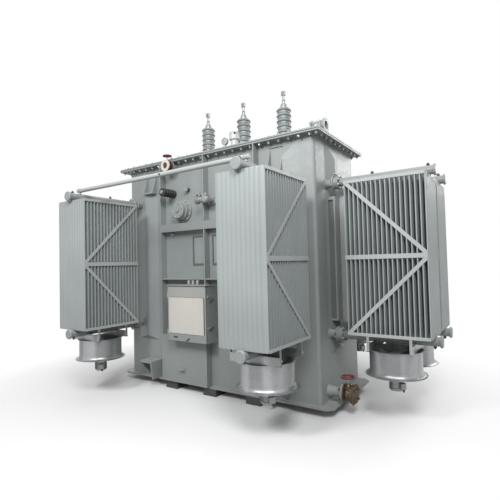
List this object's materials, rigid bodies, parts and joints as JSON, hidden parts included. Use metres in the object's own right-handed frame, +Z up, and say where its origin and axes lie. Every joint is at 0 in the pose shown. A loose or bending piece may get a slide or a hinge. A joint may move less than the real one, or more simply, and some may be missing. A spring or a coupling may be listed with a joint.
{
  "type": "power transformer",
  "caption": "Oil-filled power transformer: steel tank on skids with fan-cooled panel radiators, bushings, tap-changer head, valves and a control cabinet.",
  "frame": {"origin": "on the ground under the middle of the tank, at the underside of the middle skid", "axes": "+X to the right along the control side, +Y from the control side to the back, +Z up"},
  "size_m": [4.186, 3.426, 3.896],
  "materials": {
    "grey_paint": "semi-gloss light grey paint",
    "fin_paint": "satin grey paint",
    "skid_black": "dark satin paint",
    "cabinet_cream": "cream enamel",
    "galvanised": "bright galvanised sheet",
    "fan_black": "dark satin paint",
    "bare_steel": "bright cast and turned metal",
    "black_plastic": "matt black",
    "bronze": "dull cast bronze",
    "red_paint": "gloss red paint",
    "porcelain": "grey glaze"
  },
  "bodies": {
    "transformer": {"skids": "skid_black", "base_plate": "grey_paint", "tank": "grey_paint", "tank_flange": "grey_paint", "cover": "grey_paint", "front_stiffeners": "grey_paint", "back_stiffeners": "grey_paint", "bent_stiffeners": "grey_paint", "end_duct": "grey_paint", "lower_box": "grey_paint", "control_cabinet": "grey_paint", "cabinet_brackets": "grey_paint", "nameplate_frames": "grey_paint", "tap_changer_head": "grey_paint", "plug_connector": "black_plastic", "sampling_fittings": "bare_steel", "lifting_lugs": "grey_paint", "jacking_pads": "grey_paint", "oil_valves": "bronze", "bushing_flanges": "bare_steel", "bushing_porcelains": "porcelain", "bushing_terminals": "bare_steel", "relief_valve": "bare_steel", "dial_gauge": "bare_steel", "cover_pipe": "grey_paint", "tie_bars": "grey_paint", "front_radiator_panels": "fin_paint", "front_radiator_headers": "grey_paint", "front_radiator_braces": "grey_paint", "front_fan_casings": "galvanised", "back_radiator_panels": "fin_paint", "back_radiator_headers": "grey_paint", "back_radiator_braces": "grey_paint", "back_fan_casings": "galvanised", "end_radiator_panels": "fin_paint", "end_radiator_headers": "grey_paint", "end_radiator_braces": "grey_paint", "end_fan_casings": "galvanised"},
    "cabinet_door": {"cabinet_door": "cabinet_cream"},
    "filter_handwheel": {"filter_handwheel": "red_paint"},
    "drain_handwheel": {"drain_handwheel": "red_paint"},
    "front_first_rotor": {"front_first_rotor": "fan_black"},
    "front_second_rotor": {"front_second_rotor": "fan_black"},
    "back_first_rotor": {"back_first_rotor": "fan_black"},
    "back_second_rotor": {"back_second_rotor": "fan_black"},
    "end_first_rotor": {"end_first_rotor": "fan_black"},
    "end_second_rotor": {"end_second_rotor": "fan_black"}
  },
  "joints": [
    {"name": "cabinet_door_hinge", "type": "hinge", "parent": "transformer", "child": "cabinet_door", "pos_m": [-0.495, -0.8185, 1.013], "axis": [0, 0, -1], "range_deg": [0, 110]},
    {"name": "filter_wheel_spin", "type": "hinge", "parent": "transformer", "child": "filter_handwheel", "pos_m": [-0.548, -0.733, 2.983], "axis": [0, 0, 1], "range_deg": [0, 720]},
    {"name": "drain_wheel_spin", "type": "hinge", "parent": "transformer", "child": "drain_handwheel", "pos_m": [1.6722, -0.37, 0.3214], "axis": [0, 0, 1], "range_deg": [0, 720]},
    {"name": "front_first_rotor_spin", "type": "hinge", "parent": "transformer", "child": "front_first_rotor", "pos_m": [-1.24, -1.2705, 0.6], "axis": [0, 0, 1], "continuous": true},
    {"name": "front_second_rotor_spin", "type": "hinge", "parent": "transformer", "child": "front_second_rotor", "pos_m": [1.24, -1.2705, 0.6], "axis": [0, 0, 1], "continuous": true},
    {"name": "back_first_rotor_spin", "type": "hinge", "parent": "transformer", "child": "back_first_rotor", "pos_m": [-1.24, 1.2705, 0.6], "axis": [0, 0, 1], "continuous": true},
    {"name": "back_second_rotor_spin", "type": "hinge", "parent": "transformer", "child": "back_second_rotor", "pos_m": [1.24, 1.2705, 0.6], "axis": [0, 0, 1], "continuous": true},
    {"name": "end_first_rotor_spin", "type": "hinge", "parent": "transformer", "child": "end_first_rotor", "pos_m": [2.149, -0.296, 0.6], "axis": [0, 0, 1], "continuous": true},
    {"name": "end_second_rotor_spin", "type": "hinge", "parent": "transformer", "child": "end_second_rotor", "pos_m": [2.149, 0.296, 0.6], "axis": [0, 0, 1], "continuous": true}
  ]
}
